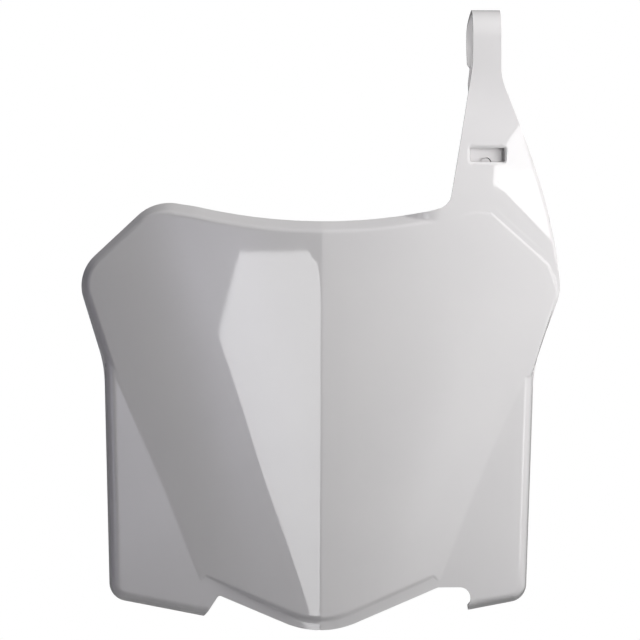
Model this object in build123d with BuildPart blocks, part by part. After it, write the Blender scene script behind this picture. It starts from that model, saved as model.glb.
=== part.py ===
"""Racing number board: a moulded shield with wings, an arm and a handlebar strap.

Millimetres. The board stands upright and faces -Y, with +Z up. Drawings count across from the
keel, up from the chin and back from the keel's front line. The origin of the finished part is
on the axis of the handlebar that the strap holds.
"""

import os
from math import atan2, cos, hypot, radians, sin, sqrt, tan

from build123d import *

os.makedirs("parts", exist_ok=True)

# Handlebar and strap
BAR_RADIUS = 11.2
STRAP_THICKNESS = 2.4
STRAP_WIDTH = 14.0
STRAP_ACROSS = 82.8
STRAP_FRONT = 14.0
BAR_HEIGHT = 296.6
TAIL_WIDTH = 14.0
TAIL_SHIFT = 1.4
REAR_FLARE = 3.6
STRAP_WRAP = 28.0

# Board shell
WALL = 2.2
PANEL_SLOPE = 8.5
KEEL_SLOPE_TOP = 5.0
KEEL_SLOPE_CHIN = 8.0
FACE_RADIUS = 1050.0
BOW = 2.0
LIP_DEPTH = 8.0

# Shield outline, on the rim of one half
KEEL_HEIGHT = 204.25
TOP_SAG = 3.0
SHOULDER_ACROSS = 82.5
SHOULDER_HEIGHT = 216.4
SHOULDER_RADIUS = 16.0
TIP_ACROSS = 125.3
TIP_HEIGHT = 178.1
TIP_RADIUS = 16.0
BEND_ACROSS = 107.5
BEND_HEIGHT = 125.6
CHIN_CORNER_ACROSS = 63.6
CHIN_CORNER_HEIGHT = 22.7
CHIN_HALF_WIDTH = 9.8
CHIN_RADIUS = 15.0

# Lip widths, from the rim to the front of the shield
TOP_LIP = 5.6
SHOULDER_LIP = 3.0
SIDE_LIP = 4.1
CREASE_LIP = 3.0
CHIN_LIP = 7.9

# Wings
CREASE_TOP = (101.5, 126.0)
CREASE_FOOT = (60.1, 28.0)
WING_FOLD = 2.5
WING_DEPTH = 14.0
WING_SIDE_LIP = 5.6
WING_BOTTOM_LIP = 5.4
WING_TOP_ACROSS = 110.2
WING_TOP_HEIGHT = 131.2
WING_CORNER_ACROSS = 107.4
WING_CORNER_HEIGHT = 16.2
WING_CORNER_RADIUS = 9.0
WING_FOOT_ACROSS = 60.2
WING_FOOT_HEIGHT = 7.7
NOTCH_ACROSS = 53.7
NOTCH_HEIGHT = 17.6
HOSE_RADIUS = 5.5
HOSE_ACROSS = 72.4
HOSE_HEIGHT = 15.6
HOSE_SLOT_END = 61.9

# Arm
ARM_THICKNESS = 2.4
ARM_STEP = 0.6
ARM_FALL = 6.0
ARM_FALL_FROM = 80.0
ARM_ROOT_BELOW_SHOULDER = 8.4
ARM_ROOT_IN = 32.5
ARM_INNER_IN = 18.3
ARM_ROOT_DROP = 4.6
ARM_EDGE_IN = 5.3
ARM_EDGE_BELOW_TIP = 5.1
ARM_SIDE_IN = 7.8
ARM_SIDE_ABOVE_SHOULDER = 0.6
ARM_TAPER = 22.4
ARM_TAPER_RISE = 58.2
ARM_NECK_BELOW_BAR = 13.6
ARM_OVERLAP = 4.0
ARM_ROOT_RADIUS = 8.5
ARM_NECK_RADIUS = 30.0

# Window, bridge and peg
WINDOW_WIDTH = 17.6
WINDOW_HEIGHT = 7.2
WINDOW_RIGHT_OF_STRAP = 0.4
WINDOW_BELOW_BAR = 59.0
WINDOW_BEVEL = 1.0
WINDOW_CLEAR = 0.3
TAIL_GAP = 0.5
TAIL_THICKNESS = 2.2
TAIL_END = 9.0
TAIL_LEAD = 8.0
BRIDGE_WALL = 2.0
BRIDGE_HEIGHT = 16.0
PEG_DIAMETER = 4.4
PEG_LEFT_OF_WINDOW = 1.2
PEG_BELOW_WINDOW = 3.6
PEG_HOLE_CLEARANCE = 0.35

# Lower fixing lug
LUG_HEIGHT = 62.0
LUG_WIDTH = 24.0
LUG_THICKNESS = 3.0
LUG_REACH = 20.0
LUG_HOLE_DIAMETER = 6.5
LUG_RIB_THICKNESS = 2.2
LUG_RIB_HEIGHT = 16.0

# Overlaps that let one body run into the next, and room for cutting bodies
KEEL_OVERLAP = 3.0
WING_COVER = 11.0
WING_COVER_RISE = 12.0
WING_CLEAR = 4.0
HOSE_CUT_IN = 6.0
CUT_ROOM = 20.0
REACH = 60.0

# Chin point of the keel, as seen from the handlebar's axis
BAR_BACK = STRAP_FRONT + STRAP_THICKNESS + BAR_RADIUS
CHIN = Vector(-STRAP_ACROSS, -BAR_BACK, -BAR_HEIGHT)
KEEL = Plane(origin=CHIN, x_dir=(0, 1, 0), z_dir=(1, 0, 0))
FRONT = Plane(origin=CHIN, x_dir=(1, 0, 0), z_dir=(0, -1, 0))
LEAN = radians(PANEL_SLOPE)
PANEL = Plane(origin=CHIN, x_dir=(cos(LEAN), sin(LEAN), 0), z_dir=(sin(LEAN), -cos(LEAN), 0))

# Places that follow from the sizes above
ARM_ROOT_HEIGHT = SHOULDER_HEIGHT - ARM_ROOT_BELOW_SHOULDER
ARM_NECK_HEIGHT = BAR_HEIGHT - ARM_NECK_BELOW_BAR
ARM_EDGE_ACROSS = TIP_ACROSS - ARM_EDGE_IN
ARM_EDGE_HEIGHT = TIP_HEIGHT - ARM_EDGE_BELOW_TIP
ARM_INNER_ROOT = SHOULDER_ACROSS - ARM_ROOT_IN
ARM_SIDE_FOOT = (ARM_EDGE_ACROSS - ARM_SIDE_IN, SHOULDER_HEIGHT + ARM_SIDE_ABOVE_SHOULDER)
ARM_TOP_SHARE = (0.0, 0.25, 0.5, 0.75, 1.0)
WINDOW_ACROSS = STRAP_ACROSS + WINDOW_RIGHT_OF_STRAP
WINDOW_CENTRE_HEIGHT = BAR_HEIGHT - WINDOW_BELOW_BAR
PEG_ACROSS = WINDOW_ACROSS - PEG_LEFT_OF_WINDOW
PEG_HEIGHT = WINDOW_CENTRE_HEIGHT - PEG_BELOW_WINDOW


def level(height):
    """A horizontal drawing plane: across, and back from the keel."""
    return Plane(origin=CHIN + Vector(0, 0, height), x_dir=(1, 0, 0), z_dir=(0, 0, 1))


def keel_slope(height):
    """Angle between the face and the frontal plane at the keel, which opens towards the chin."""
    share = height / SHOULDER_HEIGHT
    return radians(KEEL_SLOPE_CHIN + (KEEL_SLOPE_TOP - KEEL_SLOPE_CHIN) * share)


def face_depth(across, height):
    """How far the bowed face lies behind the keel's front line."""
    slope = keel_slope(height)
    turned = across / FACE_RADIUS + sin(slope)
    return FACE_RADIUS * (cos(slope) - sqrt(1 - turned * turned))


def inset(corners, widths):
    """Corners of a closed outline whose sides have each moved inwards by their own width."""
    count = len(corners)
    moved = []
    for i in range(count):
        ax, ay = corners[i - 1]
        bx, by = corners[i]
        cx, cy = corners[(i + 1) % count]
        before = hypot(bx - ax, by - ay)
        after = hypot(cx - bx, cy - by)
        ux, uy = (bx - ax) / before, (by - ay) / before
        vx, vy = (cx - bx) / after, (cy - by) / after
        px, py = bx + uy * widths[i - 1], by - ux * widths[i - 1]
        qx, qy = bx + vy * widths[i], by - vx * widths[i]
        along = ((qx - px) * vy - (qy - py) * vx) / (ux * vy - uy * vx)
        moved.append((px + ux * along, py + uy * along))
    return moved


def shield_points(depth, wall):
    """Corners of the shield's outline at one depth, drawn in by the lip's slope and by a wall."""
    share = 1 - (depth + BOW) / (LIP_DEPTH + BOW)
    rim = [
        (-KEEL_OVERLAP, KEEL_HEIGHT),
        (SHOULDER_ACROSS, SHOULDER_HEIGHT),
        (TIP_ACROSS, TIP_HEIGHT),
        (BEND_ACROSS, BEND_HEIGHT),
        (CHIN_CORNER_ACROSS, CHIN_CORNER_HEIGHT),
        (CHIN_HALF_WIDTH, 0.0),
        (-KEEL_OVERLAP, 0.0),
    ]
    lips = [TOP_LIP, SHOULDER_LIP, SIDE_LIP, CREASE_LIP, CHIN_LIP, CHIN_LIP]
    return inset(rim, [lip * share + wall for lip in lips] + [0.0]), share


def shield_body(wall, extra):
    """One half of the shield, solid, from its bowed face to its rim."""
    with BuildPart() as body:
        for depth in (-BOW, LIP_DEPTH + extra):
            points, share = shield_points(depth, wall)
            keel_top, shoulder, tip, chin = points[0], points[1], points[2], points[5]
            sag = ((keel_top[0] + shoulder[0]) / 2, (keel_top[1] + shoulder[1]) / 2 - TOP_SAG)
            drawn_in = SHOULDER_LIP * share + wall
            with BuildSketch(PANEL.offset(-depth)) as outline:
                with BuildLine():
                    ThreePointArc(keel_top, sag, shoulder)
                    Polyline(*points[1:], points[0])
                make_face()
                fillet(outline.vertices().sort_by_distance(shoulder)[0], SHOULDER_RADIUS - drawn_in)
                fillet(outline.vertices().sort_by_distance(tip)[0], TIP_RADIUS - drawn_in)
                fillet(outline.vertices().sort_by_distance(chin)[0], CHIN_RADIUS)
        loft(ruled=True)
        for height in (-CUT_ROOM, SHOULDER_HEIGHT + CUT_ROOM):
            end = TIP_ACROSS + CUT_ROOM
            start_point = (0.0, wall)
            mid_point = (end / 2, face_depth(end / 2, height) + wall)
            end_point = (end, face_depth(end, height) + wall)
            with BuildSketch(level(height)):
                with BuildLine():
                    ThreePointArc(start_point, mid_point, end_point)
                    Polyline(end_point, (end, 2 * REACH), (0.0, 2 * REACH), start_point)
                make_face()
        loft(ruled=True, mode=Mode.INTERSECT)
    return body.part


def wing_plane(wall):
    """The wing's flat face: it holds the crease and is swept back less than the shield there."""
    top = Vector(CREASE_TOP[0], face_depth(*CREASE_TOP), CREASE_TOP[1])
    foot = Vector(CREASE_FOOT[0], face_depth(*CREASE_FOOT), CREASE_FOOT[1])
    middle = (top + foot) * 0.5
    crease = (foot - top).normalized()
    out = Vector(-crease.Z, 0, crease.X).normalized()
    beside = face_depth(middle.X + out.X, middle.Z + out.Z) - face_depth(middle.X, middle.Z)
    swept = atan2(beside, 1.0) - radians(WING_FOLD)
    across = Vector(out.X, tan(swept), out.Z).normalized()
    normal = across.cross(crease).normalized()
    if normal.Y > 0:
        normal = normal * -1
    return Plane(origin=CHIN + middle - normal * wall, x_dir=across, z_dir=normal)


def wing_body(wall, extra, guard):
    """One wing, solid, from its flat face to its rim; its inner side lies inside the shield."""
    corners = [
        (CREASE_TOP[0] - WING_COVER / 8, CREASE_TOP[1] + WING_COVER_RISE),
        (WING_TOP_ACROSS, WING_TOP_HEIGHT),
        (WING_CORNER_ACROSS, WING_CORNER_HEIGHT),
        (WING_FOOT_ACROSS, WING_FOOT_HEIGHT),
        (NOTCH_ACROSS, NOTCH_HEIGHT),
        (CREASE_FOOT[0] - WING_COVER, CREASE_FOOT[1] + WING_COVER_RISE / 4),
        (CREASE_TOP[0] - WING_COVER, CREASE_TOP[1] + WING_COVER_RISE / 6),
    ]
    with BuildPart() as body:
        for depth in (-BOW, WING_DEPTH + extra):
            share = 1 - (depth + BOW) / (WING_DEPTH + BOW)
            side = WING_SIDE_LIP * share + wall
            bottom = WING_BOTTOM_LIP * share + wall
            points = inset(corners, [wall, side, bottom, wall, wall, -guard, -guard])
            with BuildSketch(PANEL.offset(-depth)) as outline:
                with BuildLine():
                    Polyline(*points, points[0])
                make_face()
                fillet(outline.vertices().sort_by_distance(points[2])[0], WING_CORNER_RADIUS - side)
        loft(ruled=True)
        with BuildSketch(wing_plane(wall)):
            Rectangle(4 * TIP_ACROSS, 4 * TIP_ACROSS)
        extrude(amount=-2 * REACH, mode=Mode.INTERSECT)
    return body.part


def arm_front(across, height):
    """Depth of the arm's front: flush with the face at its root, flat where the strap starts."""
    root = face_depth(across, ARM_ROOT_HEIGHT) + ARM_STEP
    fall = max(0.0, (across - ARM_FALL_FROM) / (ARM_EDGE_ACROSS - ARM_FALL_FROM))
    root = root + ARM_FALL * fall * fall
    share = (height - ARM_ROOT_HEIGHT) / (ARM_NECK_HEIGHT - ARM_ROOT_HEIGHT)
    share = min(1.0, max(0.0, share))
    return root + (STRAP_FRONT - root) * share * share * (3 - 2 * share)


def window_plane(ahead):
    """A plane that touches the arm's front at the window's centre, moved a little forwards."""
    here = arm_front(WINDOW_ACROSS, WINDOW_CENTRE_HEIGHT)
    right = arm_front(WINDOW_ACROSS + 1, WINDOW_CENTRE_HEIGHT) - here
    up = arm_front(WINDOW_ACROSS, WINDOW_CENTRE_HEIGHT + 1) - here
    normal = Vector(right, -1, up).normalized()
    centre = CHIN + Vector(WINDOW_ACROSS, here, WINDOW_CENTRE_HEIGHT)
    return Plane(origin=centre + normal * ahead, x_dir=(1, right, 0), z_dir=normal)


def arm_section(height):
    """Front and back points of the arm's plate at one height."""
    span = ARM_EDGE_ACROSS + ARM_OVERLAP - ARM_INNER_ROOT
    steps = [ARM_INNER_ROOT + span * i / 6 for i in range(7)]
    front = [(x, arm_front(x, height)) for x in steps]
    back = [(x, y + ARM_THICKNESS) for x, y in reversed(front)]
    return front, back


shield_outer = shield_body(0.0, 0.0)
shield_inner = shield_body(WALL, CUT_ROOM)
wing_outer = wing_body(0.0, 0.0, 0.0)
wing_inner = wing_body(WALL, CUT_ROOM, WING_CLEAR)

with BuildPart() as half:
    add(shield_outer)
    add(wing_outer)
    add(shield_inner, mode=Mode.SUBTRACT)
    add(wing_inner, mode=Mode.SUBTRACT)

arm_heights = [ARM_EDGE_HEIGHT - CUT_ROOM, (ARM_EDGE_HEIGHT - CUT_ROOM + ARM_ROOT_HEIGHT) / 2]
for share in ARM_TOP_SHARE:
    arm_heights.append(ARM_ROOT_HEIGHT + (ARM_NECK_HEIGHT - ARM_ROOT_HEIGHT) * share)
arm_heights.append(ARM_NECK_HEIGHT + CUT_ROOM)

with BuildPart() as arm:
    for height in arm_heights:
        front, back = arm_section(height)
        with BuildSketch(level(height)):
            with BuildLine():
                Spline(*front)
                Line(front[-1], back[0])
                Spline(*back)
                Line(back[-1], front[0])
            make_face()
    loft()
    strap_left = STRAP_ACROSS - STRAP_WIDTH / 2
    strap_right = STRAP_ACROSS + STRAP_WIDTH / 2
    slant = ARM_TAPER / ARM_TAPER_RISE
    neck = (strap_right, ARM_SIDE_FOOT[1] + (ARM_SIDE_FOOT[0] - strap_right) / slant)
    root = (SHOULDER_ACROSS - ARM_INNER_IN, SHOULDER_HEIGHT - ARM_ROOT_DROP)
    with BuildSketch(FRONT) as outline:
        with BuildLine():
            Polyline(
                (ARM_INNER_ROOT, KEEL_HEIGHT - WALL / 2),
                root,
                (strap_left, ARM_NECK_HEIGHT),
                (strap_left, ARM_NECK_HEIGHT + ARM_OVERLAP / 2),
                (strap_right, ARM_NECK_HEIGHT + ARM_OVERLAP / 2),
                neck,
                ARM_SIDE_FOOT,
            )
            TangentArc(
                ARM_SIDE_FOOT,
                (ARM_EDGE_ACROSS, ARM_EDGE_HEIGHT),
                tangent=(ARM_SIDE_FOOT[0] - neck[0], ARM_SIDE_FOOT[1] - neck[1]),
            )
            Polyline(
                (ARM_EDGE_ACROSS, ARM_EDGE_HEIGHT),
                (ARM_EDGE_ACROSS - ARM_OVERLAP, ARM_EDGE_HEIGHT + ARM_OVERLAP * 0.75),
                (SHOULDER_ACROSS + ARM_OVERLAP / 2, SHOULDER_HEIGHT - 2.8 * ARM_OVERLAP),
                (ARM_INNER_ROOT, KEEL_HEIGHT - WALL / 2),
            )
        make_face()
        fillet(outline.vertices().sort_by_distance(root)[0], ARM_ROOT_RADIUS)
        fillet(outline.vertices().sort_by_distance(neck)[0], ARM_NECK_RADIUS)
    extrude(amount=-2 * REACH, mode=Mode.INTERSECT)

bar_top = BAR_HEIGHT + BAR_RADIUS + STRAP_THICKNESS
bend_radius = BAR_RADIUS + STRAP_THICKNESS / 2
window_left = WINDOW_ACROSS - WINDOW_WIDTH / 2
window_right = WINDOW_ACROSS + WINDOW_WIDTH / 2
tail_left = STRAP_ACROSS - TAIL_SHIFT - TAIL_WIDTH / 2
tail_right = tail_left + TAIL_WIDTH
tail_front = arm_front(tail_right, WINDOW_CENTRE_HEIGHT) + ARM_THICKNESS + TAIL_GAP
tail_foot = PEG_HEIGHT - TAIL_END
bridge_top = WINDOW_CENTRE_HEIGHT + WINDOW_HEIGHT / 2 + BRIDGE_WALL
bridge_foot = bridge_top - BRIDGE_HEIGHT
bridge_inside = tail_front + TAIL_THICKNESS + TAIL_GAP
tail_start = bridge_top + TAIL_LEAD
tail_middle = tail_front + TAIL_THICKNESS / 2
leave = (
    BAR_BACK + bend_radius * cos(radians(STRAP_WRAP)),
    BAR_HEIGHT - bend_radius * sin(radians(STRAP_WRAP)),
)

with BuildPart() as front_leg:
    with BuildSketch(KEEL.offset(strap_left)):
        with BuildLine():
            Polyline(
                (BAR_BACK, bar_top),
                (BAR_BACK, bar_top - STRAP_THICKNESS),
            )
            RadiusArc(
                (BAR_BACK, bar_top - STRAP_THICKNESS),
                (BAR_BACK - BAR_RADIUS, BAR_HEIGHT),
                -BAR_RADIUS,
            )
            Polyline(
                (BAR_BACK - BAR_RADIUS, BAR_HEIGHT),
                (STRAP_FRONT + STRAP_THICKNESS, ARM_NECK_HEIGHT),
                (STRAP_FRONT, ARM_NECK_HEIGHT),
                (STRAP_FRONT, BAR_HEIGHT),
            )
            RadiusArc(
                (STRAP_FRONT, BAR_HEIGHT),
                (BAR_BACK, bar_top),
                BAR_RADIUS + STRAP_THICKNESS,
            )
        make_face()
    extrude(amount=STRAP_WIDTH)

with BuildPart() as rear_leg:
    with BuildLine(KEEL.offset(STRAP_ACROSS)) as path:
        CenterArc((BAR_BACK, BAR_HEIGHT), bend_radius, 90, -90 - STRAP_WRAP)
        Spline(
            leave,
            (tail_middle, tail_start),
            tangents=((-sin(radians(STRAP_WRAP)), -cos(radians(STRAP_WRAP))), (0, -1)),
            tangent_scalars=(0.9, 0.9),
        )
        Line((tail_middle, tail_start), (tail_middle, tail_foot))
    with BuildSketch(Plane(origin=path.wires()[0] @ 0, x_dir=(1, 0, 0), z_dir=(0, 1, 0))):
        Rectangle(4 * STRAP_WIDTH, STRAP_THICKNESS)
    sweep(path=path.wires()[0])
    with BuildSketch(FRONT) as outline:
        with BuildLine():
            Polyline(
                (strap_left, bar_top + STRAP_THICKNESS),
                (strap_right, bar_top + STRAP_THICKNESS),
                (strap_right, bar_top - STRAP_THICKNESS / 2),
                (strap_right + REAR_FLARE, bar_top - 2.5 * REAR_FLARE),
                (strap_right + REAR_FLARE, BAR_HEIGHT - BAR_RADIUS),
                (tail_right, tail_start),
                (tail_right, tail_foot),
                (tail_left, tail_foot),
                (tail_left, tail_start),
                (strap_left, BAR_HEIGHT),
                (strap_left, bar_top + STRAP_THICKNESS),
            )
        make_face()
        fillet(outline.vertices().group_by(Axis.Y)[0], TAIL_WIDTH / 4)
    extrude(amount=-3 * REACH, mode=Mode.INTERSECT)

with BuildPart() as bridge:
    with BuildSketch(level(bridge_foot)):
        with Locations((WINDOW_ACROSS, (bridge_inside + BRIDGE_WALL + STRAP_FRONT) / 2)):
            Rectangle(WINDOW_WIDTH + 2 * BRIDGE_WALL, bridge_inside + BRIDGE_WALL - STRAP_FRONT)
        with Locations((WINDOW_ACROSS, bridge_inside - REACH / 2)):
            Rectangle(WINDOW_WIDTH, REACH, mode=Mode.SUBTRACT)
    extrude(amount=BRIDGE_HEIGHT)

with BuildPart() as number_board:
    add(half.part)
    mirror(about=KEEL)
    add(arm.part)
    add(front_leg.part)
    add(bridge.part)
    # Window through the arm, with a bevelled rim
    with BuildSketch(FRONT):
        with Locations((WINDOW_ACROSS, WINDOW_CENTRE_HEIGHT)):
            Rectangle(WINDOW_WIDTH, WINDOW_HEIGHT)
    extrude(amount=-(tail_front - TAIL_GAP / 2), mode=Mode.SUBTRACT)
    with BuildSketch(window_plane(WINDOW_CLEAR)):
        Rectangle(
            WINDOW_WIDTH + 2 * (WINDOW_BEVEL + WINDOW_CLEAR),
            WINDOW_HEIGHT + 2 * (WINDOW_BEVEL + WINDOW_CLEAR),
        )
    extrude(amount=-(WINDOW_BEVEL + WINDOW_CLEAR), taper=45, mode=Mode.SUBTRACT)
    add(rear_leg.part)
    # Peg through the tail's hole
    with BuildSketch(FRONT.offset(-(tail_front - 2 * TAIL_GAP))):
        with Locations((PEG_ACROSS, PEG_HEIGHT)):
            Circle(PEG_DIAMETER / 2 + PEG_HOLE_CLEARANCE)
    extrude(amount=-(TAIL_THICKNESS + 2.5 * TAIL_GAP), mode=Mode.SUBTRACT)
    with BuildSketch(FRONT.offset(-(tail_front - TAIL_GAP))):
        with Locations((PEG_ACROSS, PEG_HEIGHT)):
            Circle(PEG_DIAMETER / 2)
    extrude(amount=-(bridge_inside - tail_front + 2 * TAIL_GAP))
    # Hose slot with a round seat, through the right wing
    slot_rise = CHIN_CORNER_HEIGHT / (CHIN_CORNER_ACROSS - CHIN_HALF_WIDTH)
    slot_end = (HOSE_SLOT_END, (HOSE_SLOT_END - CHIN_HALF_WIDTH) * slot_rise)
    slot_in = NOTCH_ACROSS - HOSE_CUT_IN
    slot_low = (slot_in, (slot_in - CHIN_HALF_WIDTH) * slot_rise)
    seat_out = HOSE_RADIUS * sin(radians(45))
    with BuildSketch(PANEL.offset(2 * BOW)):
        with BuildLine():
            RadiusArc(
                (HOSE_ACROSS, HOSE_HEIGHT + HOSE_RADIUS),
                (HOSE_ACROSS + seat_out, HOSE_HEIGHT - seat_out),
                HOSE_RADIUS,
            )
            Polyline(
                (HOSE_ACROSS + seat_out, HOSE_HEIGHT - seat_out),
                (HOSE_ACROSS + seat_out, -CUT_ROOM),
                (slot_in, -CUT_ROOM),
                slot_low,
                slot_end,
                (HOSE_ACROSS, HOSE_HEIGHT + HOSE_RADIUS),
            )
        make_face()
    extrude(amount=-REACH, mode=Mode.SUBTRACT)
    # Lower lug: a tongue on two ribs behind the keel, with its bolt hole
    with BuildSketch(level(LUG_HEIGHT - LUG_THICKNESS / 2)):
        with BuildLine():
            Polyline(
                (0, WALL / 2),
                (LUG_WIDTH / 2, face_depth(LUG_WIDTH / 2, LUG_HEIGHT) + WALL / 2),
                (LUG_WIDTH / 2, LUG_REACH),
            )
            RadiusArc((LUG_WIDTH / 2, LUG_REACH), (-LUG_WIDTH / 2, LUG_REACH), -LUG_WIDTH / 2)
            Polyline(
                (-LUG_WIDTH / 2, LUG_REACH),
                (-LUG_WIDTH / 2, face_depth(LUG_WIDTH / 2, LUG_HEIGHT) + WALL / 2),
                (0, WALL / 2),
            )
        make_face()
        with Locations((0, LUG_REACH)):
            Circle(LUG_HOLE_DIAMETER / 2, mode=Mode.SUBTRACT)
    extrude(amount=LUG_THICKNESS)
    for edge in (LUG_WIDTH / 2 - LUG_RIB_THICKNESS, -LUG_WIDTH / 2):
        wall_back = face_depth(abs(edge), LUG_HEIGHT) + WALL / 2
        with BuildSketch(KEEL.offset(edge)):
            with BuildLine():
                Polyline(
                    (wall_back, LUG_HEIGHT),
                    (LUG_REACH, LUG_HEIGHT),
                    (wall_back, LUG_HEIGHT - LUG_RIB_HEIGHT),
                    (wall_back, LUG_HEIGHT),
                )
            make_face()
        extrude(amount=LUG_RIB_THICKNESS)

number_board.part.label = "number_board"
print("solids", len(number_board.part.solids()), "volume", round(number_board.part.volume, 1))
print(number_board.part.bounding_box())
export_step(number_board.part, "parts/number_board.step")
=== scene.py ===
# %% [markdown]
# # A racing number board
# The board is one moulding of white polypropylene: a shield with an upright keel, a rim turned back
# all round it, two wings folded off its sides, an arm on one shoulder, and a strap that bends over
# the handlebar to a peg behind a small window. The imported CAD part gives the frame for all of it.

import math
from functools import partial

import bmesh
import bpy
import numpy as np
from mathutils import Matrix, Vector
from mathutils.geometry import delaunay_2d_cdt


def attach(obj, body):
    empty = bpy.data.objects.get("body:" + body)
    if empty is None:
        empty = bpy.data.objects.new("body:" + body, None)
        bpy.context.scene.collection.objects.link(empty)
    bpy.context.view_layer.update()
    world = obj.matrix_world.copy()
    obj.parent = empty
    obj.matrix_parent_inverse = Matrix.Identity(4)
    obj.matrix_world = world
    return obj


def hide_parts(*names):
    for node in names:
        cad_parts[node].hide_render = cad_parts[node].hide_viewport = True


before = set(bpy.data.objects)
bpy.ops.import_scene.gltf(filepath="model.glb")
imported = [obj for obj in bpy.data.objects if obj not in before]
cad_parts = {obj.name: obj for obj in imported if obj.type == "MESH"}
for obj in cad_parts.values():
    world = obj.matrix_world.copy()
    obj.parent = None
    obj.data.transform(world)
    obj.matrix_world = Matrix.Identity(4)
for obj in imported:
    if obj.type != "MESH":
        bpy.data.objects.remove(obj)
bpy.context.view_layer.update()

# %% [markdown]
# ## How the sheet is measured
# A moulder reads the board from the front: across from the keel, up from the chin, and back from the
# keel's front line. All sizes below are millimetres in that reading. The frame's origin is on the
# handlebar's axis, so one function moves a point there.

# %% From the board's own sizes to the frame
MM = 0.001
BAR_FROM_CHIN = np.array([82.8, 27.6, 296.6])


def to_frame(points):
    """Across, back and up in millimetres to the frame's metres."""
    return (np.asarray(points, float) - BAR_FROM_CHIN) * MM


print("chin in the frame", to_frame([0, 0, 0]).round(4))

# %% [markdown]
# ## Outlines with rounded corners
# The shield, its wings and the whole board each have an outline of a few straight runs and round
# corners. Curve objects could draw them, but the shape rule further down needs plain points in order.
# A corner is written as across, up and radius, and the rim that starts there as a style: how tight
# the face bends back, how steep the rim then runs, and how deep it ends.

# %% A corner list becomes a fine outline
SPACING = 1.2
CORNER_PIECES = 4


def rounded(corners, closed=True):
    """Points along an outline and the rim style at each; corner = across, up, radius, style."""
    points, styles = [], []
    count = len(corners)
    for i, (x, z, radius, style) in enumerate(corners):
        here = np.array([x, z])
        if radius == 0 or (not closed and i in (0, count - 1)):
            points.append(here)
            styles.append(style)
            continue
        before, after = (np.array(corners[k % count][:2]) - here for k in (i - 1, i + 1))
        before, after = (way / np.linalg.norm(way) for way in (before, after))
        half = 0.5 * math.acos(np.clip(before @ after, -1, 1))
        inward = (before + after) / np.linalg.norm(before + after)
        centre = here + inward * radius / math.sin(half)
        start = here + before * radius / math.tan(half) - centre
        turn = math.pi - 2 * half
        sign = np.sign(before[0] * after[1] - before[1] * after[0])
        pieces = max(CORNER_PIECES, int(radius * turn / SPACING))
        for k in range(pieces + 1):
            share = k / pieces
            angle = -sign * turn * share
            c, s = math.cos(angle), math.sin(angle)
            points.append(centre + np.array([c * start[0] - s * start[1], s * start[0] + c * start[1]]))
            styles.append(np.array(corners[i - 1][3]) * (1 - share) + np.array(style) * share)
    return np.array(points), np.array(styles, float)


def divided(points, styles, closed=True):
    """The same outline with no stretch longer than the spacing."""
    out, kept = [], []
    last = len(points) if closed else len(points) - 1
    for i in range(last):
        a, b = points[i], points[(i + 1) % len(points)]
        pieces = max(1, int(math.ceil(np.linalg.norm(b - a) / SPACING)))
        for k in range(pieces):
            out.append(a + (b - a) * k / pieces)
            kept.append(styles[i])
    if not closed:
        out.append(points[-1])
        kept.append(styles[-1])
    return np.array(out), np.array(kept)


print("outlines have a point every", SPACING, "mm or closer")

# %% [markdown]
# ## The shield's outline
# The top edge dips to the keel in one long arc. From the shoulders the sides fall to a pointed tip,
# run in to a waist, and go on under the wings to the chin. The rim leans more at the top and chin,
# stands steeper at the sides, and is only a low step down to the arm on the right shoulder.

# %% Shield outline
TOP_RIM = (2.4, 58.0, 8.0)
UPPER_RIM = (1.7, 69.0, 8.0)
LOWER_RIM = (2.2, 72.0, 8.0)
HIDDEN_RIM = (1.0, 72.0, 8.0)
CHIN_RIM = (1.2, 52.0, 8.0)
STEP_RIM = (0.8, 28.0, 1.28)
RIGHT_RIM = (0.8, 84.0, 8.0)
TOP_ARC_RADIUS = 272.0
TOP_REACH, TOP_SPACING = 62.0, 2.0
KEEL_TOP = 203.95
SHOULDER = (83.4, 214.3, 23.0)
STEP_CORNER = (80.2, 215.3, 16.0)
TIP = (122.5, 177.5, 20.5)
WAIST = (105.1, 125.6, 0)
RIGHT_WIDER = 1.15
CHIN_CORNER = (61.7, 22.0, 2.0)
CHIN = (9.4, 0.0, 46.0)


def left_of(corner):
    """The mirrored corner on the left half."""
    return (-corner[0], *corner[1:])


def top_corners(right):
    """Corners along the dipping top edge, from its left end to a place on the right."""
    across = np.arange(-TOP_REACH, right + TOP_SPACING / 2, TOP_SPACING)
    return [(x, KEEL_TOP + x * x / (2 * TOP_ARC_RADIUS), 0) for x in across]


shield_corners = [(*corner, TOP_RIM) for corner in top_corners(TOP_REACH)]
shield_corners += [
    (*STEP_CORNER, STEP_RIM),
    (TIP[0] + RIGHT_WIDER, TIP[1], STEP_CORNER[2], RIGHT_RIM),
    (WAIST[0] + RIGHT_WIDER, *WAIST[1:], HIDDEN_RIM),
    (*CHIN_CORNER, CHIN_RIM),
    (*CHIN, CHIN_RIM),
    (*left_of(CHIN), CHIN_RIM),
    (*left_of(CHIN_CORNER), HIDDEN_RIM),
    (*left_of(WAIST), LOWER_RIM),
    (*left_of(TIP), UPPER_RIM),
    (*left_of(SHOULDER), TOP_RIM),
]
shield_line, shield_rim = divided(*rounded(shield_corners))
print("shield outline:", len(shield_line), "points")

# %% [markdown]
# ## The wings' outer edges
# Each wing has a long, nearly upright side with a soft roll, and a bottom edge that rises outwards.
# The inner end of a wing runs on under the shield, so its edge line is left open there. One line is
# drawn for the right side, and the depth rule mirrors it.

# %% Wing edge
SIDE_ROLL = (4.6, 84.0, 13.0)
BOTTOM_RIM = (2.6, 74.0, 10.0)
WING_CORNER = (104.7, 14.8, 9.0)
WING_TOP, WING_INNER = 165.0, 25.0
SIDE_LEAN = 0.029
BOTTOM_RISE = 0.183


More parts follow.
